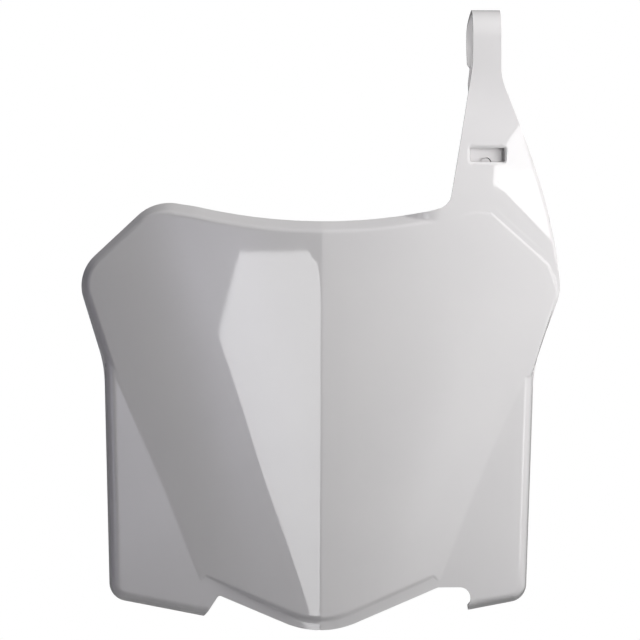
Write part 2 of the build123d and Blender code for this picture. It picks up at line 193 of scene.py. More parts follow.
def wing_bottom(x):
    """Height of the wing's bottom edge."""
    return WING_CORNER[1] + (x - WING_CORNER[0]) * BOTTOM_RISE


side_top = WING_CORNER[0] + (WING_TOP - WING_CORNER[1]) * SIDE_LEAN
wing_corners = [
    (side_top, WING_TOP, 0, SIDE_ROLL),
    (*WING_CORNER, BOTTOM_RIM),
    (WING_INNER, wing_bottom(WING_INNER), 0, BOTTOM_RIM),
]
wing_line, wing_rim = divided(*rounded(wing_corners, closed=False), closed=False)
print("wing edge:", len(wing_line), "points")

# %% [markdown]
# ## The whole board from the front
# The silhouette joins the shield, the wings, the arm and the strap's front leg. The left wing is cut
# short by a slanting notch; on the right a slot for a hose ends in a round seat. Booleans could cut
# these from a finished shell, but a sheet made inside its true outline has cleaner edges.

# %% Board outline
STRAP_LEFT, STRAP_RIGHT, STRAP_COLUMNS = 75.8, 90.0, 13
BAR_HEIGHT = BAR_FROM_CHIN[2]
TOP_END = 54.0
NECK_HEIGHT = 283.0
NECK = (STRAP_LEFT, NECK_HEIGHT, 25.0)
ARM_ROOT = (64.2, 212.0, 8.5)
ARM_NECK = (STRAP_RIGHT, 276.4, 30.0)
ARM_EDGE, ARM_SIDE_RADIUS, ARM_SIDE_TURN = (119.9, 179.0), 256.0, (22.8, 7.0)
TIP_TURN = (ARM_EDGE[0] + 0.9, 169.3, 20.0)
SIDE_BEND = (108.0, 131.2, 60.0)
SLOT_MOUTH = (74.9, wing_bottom(74.9), 0.5)
SEAT, SEAT_RADIUS, SEAT_TURN = (70.3, 15.6), 5.5, (-38.0, 90.0)
SLOT_END = (59.25, 21.1, 1.0)
NOTCH_TOP = (50.5, 17.0, 1.5)
NOTCH_FOOT = (57.5, wing_bottom(57.5), 1.0)
ARC_POINTS = 18
NO_RIM = (0.0, 0.0, 0.0)


def circle(centre, radius, turns):
    """Points on a circle at angles in radians."""
    return [(centre[0] + radius * math.cos(t), centre[1] + radius * math.sin(t)) for t in turns]


def arc(centre, radius, turn):
    """Corners on an arc between two angles in degrees."""
    turns = [math.radians(degrees) for degrees in np.linspace(*turn, ARC_POINTS)]
    return [(*point, 0) for point in circle(centre, radius, turns)]


def outline(corners, closed=True):
    """Points of an outline that has no rim; corner = across, up, radius."""
    line, _ = divided(*rounded([(*corner, NO_RIM) for corner in corners], closed), closed)
    return line


foot = math.radians(ARM_SIDE_TURN[1])
arm_centre = np.array(ARM_EDGE) - ARM_SIDE_RADIUS * np.array([math.cos(foot), math.sin(foot)])
arm_side = arc(arm_centre, ARM_SIDE_RADIUS, ARM_SIDE_TURN)
strap_top = [(x, BAR_HEIGHT, 0) for x in np.linspace(STRAP_LEFT, STRAP_RIGHT, STRAP_COLUMNS)]
board_corners = [
    *top_corners(TOP_END),
    ARM_ROOT,
    NECK,
    *strap_top,
    ARM_NECK,
    *arm_side,
    TIP_TURN,
    SIDE_BEND,
    WING_CORNER,
    SLOT_MOUTH,
    *arc(SEAT, SEAT_RADIUS, SEAT_TURN),
    SLOT_END,
    CHIN,
    *map(left_of, (CHIN, NOTCH_TOP, NOTCH_FOOT, WING_CORNER, SIDE_BEND, TIP, SHOULDER)),
]
board_line = outline(board_corners)
print("board outline:", len(board_line), "points")

# %% [markdown]
# ## The window
# A small window in the arm shows the latch. A boolean could cut it, but as a second outline of the
# same sheet it gets a clean bevelled edge from the depth rule.

# %% The window in the arm
WINDOW = (74.4, 92.0, 234.0, 241.2)
WINDOW_RADIUS = 0.8
window_left, window_right, window_foot, window_top = WINDOW
window_corners = [
    (window_left, window_top, WINDOW_RADIUS),
    (window_right, window_top, WINDOW_RADIUS),
    (window_right, window_foot, WINDOW_RADIUS),
    (window_left, window_foot, WINDOW_RADIUS),
]
window_line = outline(window_corners)
print("window:", len(window_line), "points")

# %% [markdown]
# ## Distances from an outline
# The rim bends back by its distance from the edge, so each point needs the distance to the nearest
# edge and the rim style there. Geometry Nodes could measure this too, but plain arithmetic on arrays
# is exact for each straight stretch.

# %% Distance, side and rim style
CHUNK = 1500


def inside(points, line):
    """Whether each point lies inside a closed outline."""
    x, z = points[:, 0:1], points[:, 1:2]
    ax, az = line.T
    bx, bz = np.roll(line, -1, axis=0).T
    crosses = (az > z) != (bz > z)
    at = ax + (z - az) * (bx - ax) / np.where(bz == az, 1e-9, bz - az)
    return (crosses & (x < at)).sum(axis=1) % 2 == 1


def nearest(points, line, styles, closed=True):
    """Distance in from a clockwise outline (negative outside) and the rim style at the nearest place."""
    start = line if closed else line[:-1]
    end = np.roll(line, -1, axis=0) if closed else line[1:]
    follow = np.roll(styles, -1, axis=0) if closed else styles[1:]
    along = end - start
    length2 = np.maximum((along ** 2).sum(axis=1), 1e-12)
    distance = np.empty(len(points))
    style = np.empty((len(points), 3))
    for low in range(0, len(points), CHUNK):
        part = points[low:low + CHUNK]
        off = part[:, None, :] - start
        share = np.clip((off * along).sum(axis=2) / length2, 0, 1)
        gap = off - share[..., None] * along
        squared = (gap ** 2).sum(axis=2)
        best = squared.argmin(axis=1)
        rows = np.arange(len(part))
        side = along[best, 0] * off[rows, best, 1] - along[best, 1] * off[rows, best, 0]
        distance[low:low + CHUNK] = np.sqrt(squared[rows, best]) * np.where(side <= 0, 1, -1)
        blend = share[rows, best][:, None]
        style[low:low + CHUNK] = styles[:len(start)][best] * (1 - blend) + follow[best] * blend
    return distance, style


def distance_in(points, line, closed=True):
    """Distance in from an outline alone."""
    return nearest(points, line, np.zeros((len(line), 3)), closed)[0]


print("tip to board edge", distance_in(np.array([TIP[:2]]), board_line).round(1)[0], "mm")

# %% [markdown]
# ## The bowed face
# The face is two shallow bows that meet in the keel and fold back more at the chin than at the top.
# It could be sculpted or lofted. A rule that gives the depth at any place keeps the bow exact, and
# the wings and the arm can be measured from it. The keel goes soft where it runs out on the chin.

# %% Depth of the face
KEEL_TOP_SLOPE, KEEL_CHIN_SLOPE = 5.0, 8.0
FACE_TOP_RADIUS, FACE_CHIN_RADIUS = 1050.0, 720.0
KEEL_SOFTNESS, KEEL_END_SOFTNESS = 0.1, 4.0
KEEL_END = (2.0, 8.0)


def eased(value, low, high):
    """A share from 0 to 1 that starts and ends gently."""
    share = np.clip((value - low) / (high - low), 0, 1)
    return share * share * (3 - 2 * share)


def face_depth(x, z):
    """Depth of the bowed shield face behind the keel's front line."""
    share = z / SHOULDER[1]
    slope = np.radians(KEEL_CHIN_SLOPE + (KEEL_TOP_SLOPE - KEEL_CHIN_SLOPE) * share)
    radius = FACE_CHIN_RADIUS + (FACE_TOP_RADIUS - FACE_CHIN_RADIUS) * share
    soft = KEEL_END_SOFTNESS + (KEEL_SOFTNESS - KEEL_END_SOFTNESS) * eased(z, *KEEL_END)
    across = np.sqrt(x * x + soft ** 2) - soft
    turned = across / radius + np.sin(slope)
    return radius * (np.cos(slope) - np.sqrt(1 - turned * turned))


print("face depth at the left shoulder", round(float(face_depth(*SHOULDER[:2])), 2), "mm")

# %% [markdown]
# ## The wings
# A wing is a flat face through the crease, swept back a little less than the shield beside it, so the
# crease shows as a change of light. Above the waist the wing sinks away behind the shield.

# %% Depth of the wings
CREASE_TOP, CREASE_FOOT = (103.4, 126.0), (61.9, 28.0)
WING_FOLD = 4.8
WING_HIDDEN_FROM = 128.0
SINK_RATE = 0.02

crease_top, crease_foot = (np.array([x, face_depth(x, z), z]) for x, z in (CREASE_TOP, CREASE_FOOT))
crease_mid = (crease_top + crease_foot) / 2
crease_way = (crease_foot - crease_top) / np.hypot(*(crease_foot - crease_top)[[0, 2]])
crease_out = np.array([-crease_way[2], crease_way[0]])
beside = face_depth(crease_mid[0] + crease_out[0], crease_mid[2] + crease_out[1])
sweep = math.tan(math.atan(beside - face_depth(crease_mid[0], crease_mid[2])) - math.radians(WING_FOLD))


def sunk(beyond):
    """How far a face has sunk out of sight beyond the place where it is hidden."""
    return SINK_RATE * np.maximum(0, beyond) ** 2


def wing_depth(x, z):
    """Depth of the wing's flat face, which holds the crease."""
    dx, dz = np.abs(x) - crease_mid[0], z - crease_mid[2]
    out = dx * crease_out[0] + dz * crease_out[1]
    down = dx * crease_way[0] + dz * crease_way[2]
    return crease_mid[1] + down * crease_way[1] + out * sweep + sunk(z - WING_HIDDEN_FROM)


print("wing sweep", round(math.degrees(math.atan(sweep)), 2), "degrees")

# %% [markdown]
# ## The arm
# The arm grows out of the face, half a millimetre behind it along the shoulder, where the step
# catches the light as a fine bright line. Its outer part is a facet that falls away behind a soft
# fold, which is where a large light shows as a white patch. Higher up the arm flattens to the strap.

# %% Depth of the arm
ARM_ROOT_HEIGHT = 208.0
STEP_DEPTH = 0.5
STEP_FADE = (62.0, 86.0, 112.0, 132.0)
FACET_FOLD = [(126.0, 185.5, 0), (93.0, 218.3, 8), (86.0, 222.3, 3), (87.0, 234.0, 12), (101.0, 256.0, 0)]
FACET_SLOPE, FACET_SOFTNESS = 0.2, 1.4
STRAP_BLEND = (246.0, NECK_HEIGHT)
STRAP_OUTER = 14.2
STRAP_FRONT = BAR_FROM_CHIN[1] - STRAP_OUTER
ARM_HIDDEN_LEFT = 60.0
ARM_HIDDEN_BELOW, ARM_OUTER_HIDDEN_BELOW, ARM_OUTER_FROM = 205.0, 168.0, 84.0

facet_line = outline(FACET_FOLD, closed=False)


def hump(value, low, full, falling, high):
    """Nothing, then one, then nothing again, with gentle flanks."""
    return eased(value, low, full) * (1 - eased(value, falling, high))


def facet_fall(x, z):
    """How far the arm's outer facet has fallen back beyond its soft fold."""
    beyond = distance_in(np.column_stack([x, z]), facet_line, closed=False)
    on_fold = np.clip(beyond + FACET_SOFTNESS, 0, 2 * FACET_SOFTNESS)
    return FACET_SLOPE * (on_fold ** 2 / (4 * FACET_SOFTNESS) + np.maximum(0, beyond - FACET_SOFTNESS))


def arm_depth(x, z):
    """Depth of the arm's front: a low step at the shoulder, the outer facet, flat at the strap."""
    root = face_depth(x, np.minimum(z, ARM_ROOT_HEIGHT)) + STEP_DEPTH * hump(x, *STEP_FADE)
    leaned = root + facet_fall(x, z)
    to_strap = eased(z, *STRAP_BLEND)
    hidden_below = np.where(x < ARM_OUTER_FROM, ARM_HIDDEN_BELOW, ARM_OUTER_HIDDEN_BELOW)
    hidden = sunk(ARM_HIDDEN_LEFT - x) + sunk(hidden_below - z)
    return leaned * (1 - to_strap) + STRAP_FRONT * to_strap + hidden


print("facet falls", round(math.degrees(math.atan(FACET_SLOPE)), 1), "degrees behind its fold")

# %% [markdown]
# ## Rims, and one depth for every point
# A rim is a small arc and then a straight run, so its bend follows from the distance to the edge. The
# arm's outer edge has a tiny rim of its own that fades at both ends. Where two faces meet, the front
# one shows, with a small blend as a moulding has. A second faint ridge follows the shoulder's step.

# %% Rim bend
RIM_DEEPEST = 8.0


def rim_depth(inward, style):
    """How far the rim has bent back at a distance in from the edge."""
    radius, lean, depth = style[:, 0], np.radians(style[:, 1]), style[:, 2]
    run = (depth - radius * (1 - np.cos(lean))) / np.sin(lean)
    width = radius * np.sin(lean) + run * np.cos(lean)
    bent = np.clip(width - inward, 0, None)
    on_arc = radius - np.sqrt(np.maximum(radius ** 2 - np.minimum(bent, radius * np.sin(lean)) ** 2, 0))
    on_run = np.maximum(0, bent - radius * np.sin(lean)) * np.tan(lean)
    return np.minimum(on_arc + on_run, np.maximum(depth, RIM_DEEPEST))


ARM_RIM = np.array([0.8, 72.0, 0.9])
RIM_FADE_TOP, RIM_FADE_FOOT, RIM_LEAST = 3, 5, 0.05
arm_line = np.array([corner[:2] for corner in arm_side])
places = np.arange(len(arm_line))
from_end = np.minimum(places / RIM_FADE_TOP, places[::-1] / RIM_FADE_FOOT)
rim_share = np.clip(from_end, RIM_LEAST, 1)
arm_rim = ARM_RIM * np.column_stack([rim_share, np.ones(len(arm_line)), rim_share])
print("arm edge:", len(arm_line), "points with a rim of", ARM_RIM[2], "mm")

# %% The depth of the sheet
ARM_FROM = (20.0, 150.0)
WINDOW_BEVEL = 1.0
SECOND_STEP = 0.035
SECOND_SPAN = (1.1, 1.5)
SECOND_FADE = (85.0, 92.0, 106.0, 114.0)
CREASE_BLEND, STEP_BLEND, STEP_BLEND_FROM = 0.06, 0.05, 1.5
BLEND_GROWTH, BLEND_SPAN = 0.9, 3.0


def front_of(a, b, blend):
    """The nearer of two depths, with a soft blend where they cross."""
    share = np.clip(0.5 + 0.5 * (b - a) / blend, 0, 1)
    return b * (1 - share) + a * share - blend * share * (1 - share)


def sheet_depth(points):
    """Depth of the board's front at points given as across and up."""
    x, z = points[:, 0], points[:, 1]
    from_shield, style = nearest(points, shield_line, shield_rim)
    bend = rim_depth(from_shield, style)
    shield = face_depth(x, z) + bend
    mirrored = np.column_stack([np.abs(x), z])
    inward, style = nearest(mirrored, wing_line, wing_rim, closed=False)
    wing = wing_depth(x, z) + rim_depth(inward, style)
    blend = CREASE_BLEND + BLEND_GROWTH * np.clip(bend / BLEND_SPAN, 0, 1)
    depth = front_of(shield, wing, blend)
    to_window = distance_in(points, window_line)
    to_side, side_rim = nearest(points, arm_line, arm_rim, closed=False)
    arm = arm_depth(x, z) + np.clip(WINDOW_BEVEL + to_window, 0, WINDOW_BEVEL)
    arm = arm + rim_depth(np.abs(to_side), side_rim)
    arm = arm + SECOND_STEP * eased(-from_shield, *SECOND_SPAN) * hump(x, *SECOND_FADE)
    blend = STEP_BLEND + BLEND_GROWTH * np.clip((bend - STEP_BLEND_FROM) / BLEND_SPAN, 0, 1)
    arm_here = (x > ARM_FROM[0]) & (z > ARM_FROM[1])
    return np.where(arm_here, front_of(depth, arm, blend), depth)


print("depth at the chin's edge", sheet_depth(np.array([[0.0, 0.0]])).round(2)[0], "mm")

# %% [markdown]
# ## A flat blank with points where the shape needs them
# The blank is a triangulated sheet with the board's outline. An even grid would blur the fine lines,
# so rows of points follow the rims, the keel, the creases and the step closely, and a wider pattern
# fills the calm faces.

# %% Rows along the edges
RIDGE_FROM = (84.0, 180.0)
RIDGE_ROWS = (2.65, 2.45, 2.25, 1.6, 1.45, 1.3, -1.1, -1.3, -1.5)
RIM_ROWS = (0.45, 0.9, 1.35, 1.8, 2.25, 2.7, 3.2, 3.8, 4.4, 5.0, 5.6, 6.3, 7.1, 8.2)
RIM_ROW_KEEPS = 0.9


def to_right(along):
    """Unit vectors to the right of each way along a line."""
    return np.column_stack([along[:, 1], -along[:, 0]]) / np.linalg.norm(along, axis=1)[:, None]


def inward_of(line):
    """Unit vectors that point in from each stretch of a clockwise outline."""
    return to_right(np.roll(line, -1, axis=0) - line)


shield_way = inward_of(shield_line)
on_ridge = (shield_line[:, 0] > RIDGE_FROM[0]) & (shield_line[:, 1] > RIDGE_FROM[1])
ridge_rows = [(shield_line + shield_way * reach)[on_ridge] for reach in RIDGE_ROWS]
middles = (board_line + np.roll(board_line, -1, axis=0)) / 2
board_way = inward_of(board_line)
close_rows = []
for row, reach in enumerate(RIM_ROWS):
    ring = (board_line if row % 2 else middles) + board_way * reach
    gap = distance_in(ring, board_line)
    close_rows.append(ring[(gap > RIM_ROW_KEEPS * reach) & inside(ring, board_line)])
print("ridge rows:", len(ridge_rows), "and rim rows:", len(close_rows))

# %% Rows along the keel, the creases and the arm's fold
KEEL_ROWS = (0.0, 0.12, -0.12, 0.45, -0.45, 1.2, -1.2, 2.2, -2.2)
CREASE_ROWS = (0.0, 0.5, -0.5, 1.1, -1.1, 2.0, -2.0)
FOLD_ROWS = np.arange(-2.4, 2.5, 0.6)
ALONG_KEEL = np.arange(2.0, KEEL_TOP - 1.0, 2.0)
ALONG_CREASE = np.linspace(-0.1, 1.12, 84)[:, None]

for aside in KEEL_ROWS:
    close_rows.append(np.column_stack([np.full(len(ALONG_KEEL), aside), ALONG_KEEL + aside]))
crease_run = CREASE_FOOT * (1 - ALONG_CREASE) + CREASE_TOP * ALONG_CREASE
for aside in CREASE_ROWS:
    run = crease_run + crease_out * aside
    close_rows += [run, run * np.array([-1.0, 1.0])]
fold_way = to_right(np.gradient(facet_line, axis=0))
close_rows += [facet_line + fold_way * aside for aside in FOLD_ROWS]
print("close rows so far:", len(close_rows))

# %% Rows along the shield's edge and the window, and a wide pattern
SHIELD_ROWS = np.arange(-3.0, 8.1, 0.55)
SHIELD_SLACK = (0.15, 0.05)
WINDOW_ROWS = (0.5, 1.0, 1.5, 2.4)
GRID_HALF, GRID_COLUMN, GRID_ROW = 124.0, 3.0, 2.6

for reach in SHIELD_ROWS:
    ring = shield_line + shield_way * reach
    gap = distance_in(ring, shield_line)
    close_rows.append(ring[np.abs(gap - reach) < SHIELD_SLACK[0] * abs(reach) + SHIELD_SLACK[1]])
window_way = -inward_of(window_line)
close_rows += [window_line + window_way * reach for reach in WINDOW_ROWS]
grid = []
for row, z in enumerate(np.arange(2.0, BAR_HEIGHT, GRID_ROW)):
    xs = np.arange(-GRID_HALF, GRID_HALF, GRID_COLUMN) + (GRID_COLUMN / 2 if row % 2 else 0.0)
    grid.append(np.column_stack([xs, np.full(len(xs), z)]))
print("close rows:", len(close_rows), "and grid rows:", len(grid))

# %% Keep points that lie on the board and not on top of each other
RIDGE_ROOM, CLOSE_ROOM, WIDE_ROOM = 0.12, 0.42, 2.1
CELL = 3


def home(p):
    """The cell of a coarse grid that a point lies in."""
    return (int(p[0] // CELL), int(p[1] // CELL))


def spaced(fixed, rows):
    """Points of the rows, in order, that keep their row's room to every point before them."""
    cells, kept = {}, []

    def crowded(p, room):
        column, row = home(p)
        near = (q for i in (-1, 0, 1) for k in (-1, 0, 1) for q in cells.get((column + i, row + k), ()))
        return any((p[0] - q[0]) ** 2 + (p[1] - q[1]) ** 2 < room * room for q in near)

    for p in fixed:
        cells.setdefault(home(p), []).append(p)
    for points, room in rows:
        for p in points[inside(points, board_line) & ~inside(points, window_line)].tolist():
            if not crowded(p, room):
                cells.setdefault(home(p), []).append(p)
                kept.append(p)
    return np.array(kept)


rows = [(points, RIDGE_ROOM) for points in ridge_rows]
rows += [(points, CLOSE_ROOM) for points in close_rows]
rows.append((np.vstack(grid), WIDE_ROOM))
inner_points = spaced(board_line.tolist() + window_line.tolist(), rows)
print("inner points:", len(inner_points))

# %% [markdown]
# ## Triangles, and pressing the blank
# Blender's constrained Delaunay routine joins the points into clean triangles that keep the outline.
# Each point then gets its depth from the rule above. That is the outer skin, still without a wall.

# %% Triangles of the blank
def triangulated(outer, hole, inner):
    """Points and triangles of a flat sheet between an outline and a hole, through inner points."""
    points = [Vector(p) for p in np.vstack([outer, hole, inner])]
    loops = [(i, (i + 1) % len(outer)) for i in range(len(outer))]
    loops += [(len(outer) + i, len(outer) + (i + 1) % len(hole)) for i in range(len(hole))]
    spots, _, faces, _, _, _ = delaunay_2d_cdt(points, loops, [], 0, 1e-5)
    spots = np.array([tuple(v) for v in spots])
    faces = np.array([f for f in faces if len(f) == 3])
    middle = spots[faces].mean(axis=1)
    return spots, faces[inside(middle, outer) & ~inside(middle, hole)]


blank, triangles = triangulated(board_line, window_line, inner_points)
print("blank:", len(blank), "points,", len(triangles), "triangles")

# %% The outer skin
depth = sheet_depth(blank)
skin_points = to_frame(np.column_stack([blank[:, 0], depth, blank[:, 1]]))
a, b, c = (skin_points[triangles[:, i]] for i in range(3))
backwards = np.cross(b - a, c - a)[:, 1] > 0
triangles[backwards] = triangles[backwards][:, ::-1]
skin = bpy.data.meshes.new("board_skin")
skin.from_pydata(skin_points.tolist(), [], triangles.tolist())
print("skin depth from", round(depth.min(), 2), "to", round(depth.max(), 2), "mm")

# %% [markdown]
# ## The plastic
# The board is injection-moulded polypropylene from a polished mould: a slightly warm-grey white with
# a clear gloss, a faint flow mottle in it, and a fine ripple that softens reflections. The ripple is
# drawn coarser than the real one, which would not show. One small function adds a node with its
# settings and links.

# %% White moulded polypropylene
# Each noise has a size in millimetres and a detail
FLOW, RIPPLE = (45.0, 3.0), (3.0, 2.0)
RIPPLE_BUMP = {"Strength": 0.004, "Distance": 0.0004}
WHITE_LOW, WHITE_HIGH = "#E0DEDF", "#E7E5E5"
MOTTLE = {"From Min": 0.3, "From Max": 0.7, "To Min": 0.015, "To Max": 0.03}
PLASTIC_IOR = 1.49


def add_node(tree, kind, inputs=None, **settings):
    """A new node with its settings and inputs: values, sockets, or nodes for their first output."""
    node = tree.nodes.new(kind)
    for name, value in settings.items():
        setattr(node, name, value)
    for name, value in (inputs or {}).items():
        if isinstance(value, bpy.types.Node):
            value = next(socket for socket in value.outputs if socket.enabled)
        if isinstance(value, bpy.types.NodeSocket):
            tree.links.new(value, node.inputs[name])
        else:
            node.inputs[name].default_value = value
    return node


def cleared(owner):
    """The emptied node tree of a material or a world."""
    owner.use_nodes = True
    owner.node_tree.nodes.clear()
    return owner.node_tree


def linear(hex_colour):
    """An sRGB hex colour as linear red, green, blue and alpha."""
    values = [int(hex_colour[i:i + 2], 16) / 255 for i in (1, 3, 5)]
    return [v / 12.92 if v <= 0.04045 else ((v + 0.055) / 1.055) ** 2.4 for v in values] + [1.0]


def moulded_polypropylene():
    """A glossy off-white whose gloss drifts with the flow of the melt, over a very fine ripple."""
    material = bpy.data.materials.new("injection_moulded_polypropylene")
    add = partial(add_node, cleared(material))
    place = add("ShaderNodeTexCoord").outputs["Object"]
    flow, ripple = (
        add("ShaderNodeTexNoise", {"Vector": place, "Scale": 1 / (size * MM), "Detail": detail})
        for size, detail in (FLOW, RIPPLE)
    )
    flow = flow.outputs["Fac"]
    whites = {"Factor": flow, "A": linear(WHITE_LOW), "B": linear(WHITE_HIGH)}
    tint = add("ShaderNodeMix", whites, data_type="RGBA")
    gloss = add("ShaderNodeMapRange", {"Value": flow, **MOTTLE})
    bump = add("ShaderNodeBump", {"Height": ripple.outputs["Fac"], **RIPPLE_BUMP})
    look = {"Base Color": tint, "Roughness": gloss, "IOR": PLASTIC_IOR, "Normal": bump}
    shader = add("ShaderNodeBsdfPrincipled", look)
    add("ShaderNodeOutputMaterial", {"Surface": shader})
    return material


plastic = moulded_polypropylene()
print("material", plastic.name, "with", len(plastic.node_tree.nodes), "nodes")

# %% [markdown]
# ## The strap follows a path
# The strap leaves the arm, turns over the bar, hugs it behind and runs in to the peg. It is a ribbon
# along one curve, so Geometry Nodes makes it: a grid whose rows sit on the curve, as wide as the
# strap is there. The path itself is a Bezier curve with its handles worked out for true arcs.

# %% The strap's path
WRAP_STOPS = (180.0, 120.0, 60.0, 0.0, -28.0)
AFTER_WRAP = 15.0
TAIL_BACK = 17.8
TAIL_STOPS = ((251.2, 13.0, 5.0), (225.0, 5.0, 1.0))


def linked(name, data):
    """A new object for a mesh, curve, light or camera, in the scene at the origin."""
    piece = bpy.data.objects.new(name, data)
    bpy.context.scene.collection.objects.link(piece)
    return piece


def set_point(point, middle, before, after):
    """Place a free Bezier point and its two handles, given in millimetres."""
    point.handle_left_type = point.handle_right_type = "FREE"
    point.co = to_frame(middle)
    point.handle_left = to_frame(before)
    point.handle_right = to_frame(after)


data = bpy.data.curves.new("strap_path", "CURVE")
data.dimensions = "3D"
data.resolution_u = 24
stops = data.splines.new("BEZIER").bezier_points
stops.add(len(WRAP_STOPS) + len(TAIL_STOPS) - 1)
turns = [math.radians(a - b) for a, b in zip(WRAP_STOPS, WRAP_STOPS[1:])]
handles = [4 / 3 * math.tan(turn / 4) * STRAP_OUTER for turn in turns]
for stop, degrees, before, after in zip(stops, WRAP_STOPS, [0.0] + handles, handles + [AFTER_WRAP]):
    turn = math.radians(degrees)
    middle = BAR_FROM_CHIN + STRAP_OUTER * np.array([0, math.cos(turn), math.sin(turn)])
    way = np.array([0, math.sin(turn), -math.cos(turn)])
    set_point(stop, middle, middle - way * before, middle + way * after)
for stop, (height, above, below) in zip(stops[len(WRAP_STOPS):], TAIL_STOPS):
    middle = np.array([BAR_FROM_CHIN[0], TAIL_BACK, height])
    set_point(stop, middle, middle + np.array([0, 0, above]), middle - np.array([0, 0, below]))
path = linked("strap_path", data)
print("strap path:", len(stops), "Bezier points")

# %% The ribbon's node tree
STRAP_ROWS = 120
FLARE_SPAN, NARROW_SPAN, TILT_SPAN = (0.20, 0.34), (0.42, 0.60), (0.60, 0.76)
EDGE_PLACES = {"Strap Left": STRAP_LEFT, "Strap Right": STRAP_RIGHT, "Tail Left": 74.3, "Tail Right": 90.2}
EDGE_CHANGES = {"Rear Flare": 1.7, "Tail Tilt": 3.2}


def ribbon_tree():
    """A grid laid along a path; its left and right edges change where the strap does."""
    tree = bpy.data.node_groups.new("strap_ribbon", "GeometryNodeTree")
    kinds = {"Path": "NodeSocketObject", "Material": "NodeSocketMaterial"}
    kinds.update(dict.fromkeys([*EDGE_PLACES, *EDGE_CHANGES], "NodeSocketFloat"))
    for name, kind in kinds.items():
        tree.interface.new_socket(name, in_out="INPUT", socket_type=kind)
    tree.interface.new_socket("Geometry", in_out="OUTPUT", socket_type="NodeSocketGeometry")
    add = partial(add_node, tree)
    given = add("NodeGroupInput").outputs
    counts = {"Vertices X": STRAP_COLUMNS, "Vertices Y": STRAP_ROWS}
    sheet = add("GeometryNodeMeshGrid", {"Size X": 1.0, "Size Y": 1.0, **counts})
    place = add("GeometryNodeInputPosition")
    split = add("ShaderNodeSeparateXYZ", {"Vector": place}).outputs
    across, along = (add("ShaderNodeMath", {0: split[axis], 1: 0.5}, operation="ADD") for axis in "XY")
    route = add("GeometryNodeObjectInfo", {"Object": given["Path"]}).outputs["Geometry"]
    on_route = {"Curves": route, "Factor": along}
    spot = add("GeometryNodeSampleCurve", on_route, mode="FACTOR", use_all_curves=True)
    on_path = add("ShaderNodeSeparateXYZ", {"Vector": spot.outputs["Position"]}).outputs
    spans = [{"From Min": start, "From Max": end} for start, end in (FLARE_SPAN, NARROW_SPAN, TILT_SPAN)]
    flare, narrow, tilt = (
        add("ShaderNodeMapRange", {"Value": along, **span}, interpolation_type="SMOOTHSTEP")
        for span in spans
    )
    flared = {0: flare, 1: given["Rear Flare"], 2: given["Strap Right"]}
    wide = add("ShaderNodeMath", flared, operation="MULTIPLY_ADD")
    left = add("ShaderNodeMix", {"Factor": flare, "A": given["Strap Left"], "B": given["Tail Left"]})
    right = add("ShaderNodeMix", {"Factor": narrow, "A": wide, "B": given["Tail Right"]})
    at = add("ShaderNodeMix", {"Factor": across, "A": left, "B": right})
    turned = add("ShaderNodeMath", {0: split["X"], 1: given["Tail Tilt"]}, operation="MULTIPLY")
    tilted = {0: turned, 1: tilt, 2: on_path["Y"]}
    back = add("ShaderNodeMath", tilted, operation="MULTIPLY_ADD")
    where = add("ShaderNodeCombineXYZ", {"X": at, "Y": back, "Z": on_path["Z"]})
    laid = add("GeometryNodeSetPosition", {"Geometry": sheet, "Position": where})
    real = add("GeometryNodeRealizeInstances", {"Geometry": laid})
    white = add("GeometryNodeSetMaterial", {"Geometry": real, "Material": given["Material"]})
    add("NodeGroupOutput", {"Geometry": white})
    return tree


strap_tree = ribbon_tree()
print("strap tree:", len(strap_tree.nodes), "nodes")

# %% Lay the ribbon and keep it as a plain mesh
def baked(piece):
    """A plain mesh of a piece with its modifiers worked in."""
    depsgraph = bpy.context.evaluated_depsgraph_get()
    return bpy.data.meshes.new_from_object(piece.evaluated_get(depsgraph))


given = {name: float((x - BAR_FROM_CHIN[0]) * MM) for name, x in EDGE_PLACES.items()}
given.update({name: size * MM for name, size in EDGE_CHANGES.items()})
given.update({"Path": path, "Material": plastic})
ribbon = linked("strap_ribbon", bpy.data.meshes.new("strap_ribbon"))
modifier = ribbon.modifiers.new("Ribbon", "NODES")
modifier.node_group = strap_tree
for item in strap_tree.interface.items_tree:
    if item.in_out == "INPUT":
        modifier[item.identifier] = given[item.name]
ribbon_mesh = baked(ribbon)
bpy.data.objects.remove(ribbon)
bpy.data.objects.remove(path)
print("ribbon:", len(ribbon_mesh.vertices), "points")

# %% The hole in the tail for the peg
PEG, PEG_RADIUS, PEG_CLEARANCE = (82.3, 233.8), 2.3, 0.4
TAIL_FLAT = 1.5


def pierced(mesh, centre, radius):
    """Remove the ribbon's faces round a centre on its tail and draw the edge out to a circle."""
    build = bmesh.new()
    build.from_mesh(mesh)
    middle = Vector(to_frame((centre[0], TAIL_BACK, centre[1])))
    on_tail = [f for f in build.faces if abs(f.calc_center_median().y - middle.y) < TAIL_FLAT * MM]
    gone = [f for f in on_tail if (f.calc_center_median() - middle).length < radius * MM]
    bmesh.ops.delete(build, geom=gone, context="FACES")
    for edge in build.edges:
        if edge.is_boundary and all((v.co - middle).length < 2 * radius * MM for v in edge.verts):
            for v in edge.verts:
                out = v.co - middle
                reach = math.hypot(out.x, out.z)
                v.co = middle + out * (radius * MM / reach)
    build.to_mesh(mesh)
    build.free()
    return len(gone)


print("tail hole:", pierced(ribbon_mesh, PEG, PEG_RADIUS + PEG_CLEARANCE), "faces removed")

# %% [markdown]
# ## One closed moulding
# The ribbon's first row lies on the top of the arm's strap, so the two skins are welded there. The
# Solidify modifier gives the sheet its wall towards the back, and a small Bevel rounds the cut edges
# as a mould does. A bevel on fine triangles throws a few points past the edge, so these are drawn
# back in to the outline. The result replaces the CAD node.

# %% Weld the skin and the ribbon
WELD = 0.02


def mesh_of(build, name):
    """A new mesh from a bmesh, which is freed."""
    mesh = bpy.data.meshes.new(name)
    build.to_mesh(mesh)
    build.free()
    return mesh


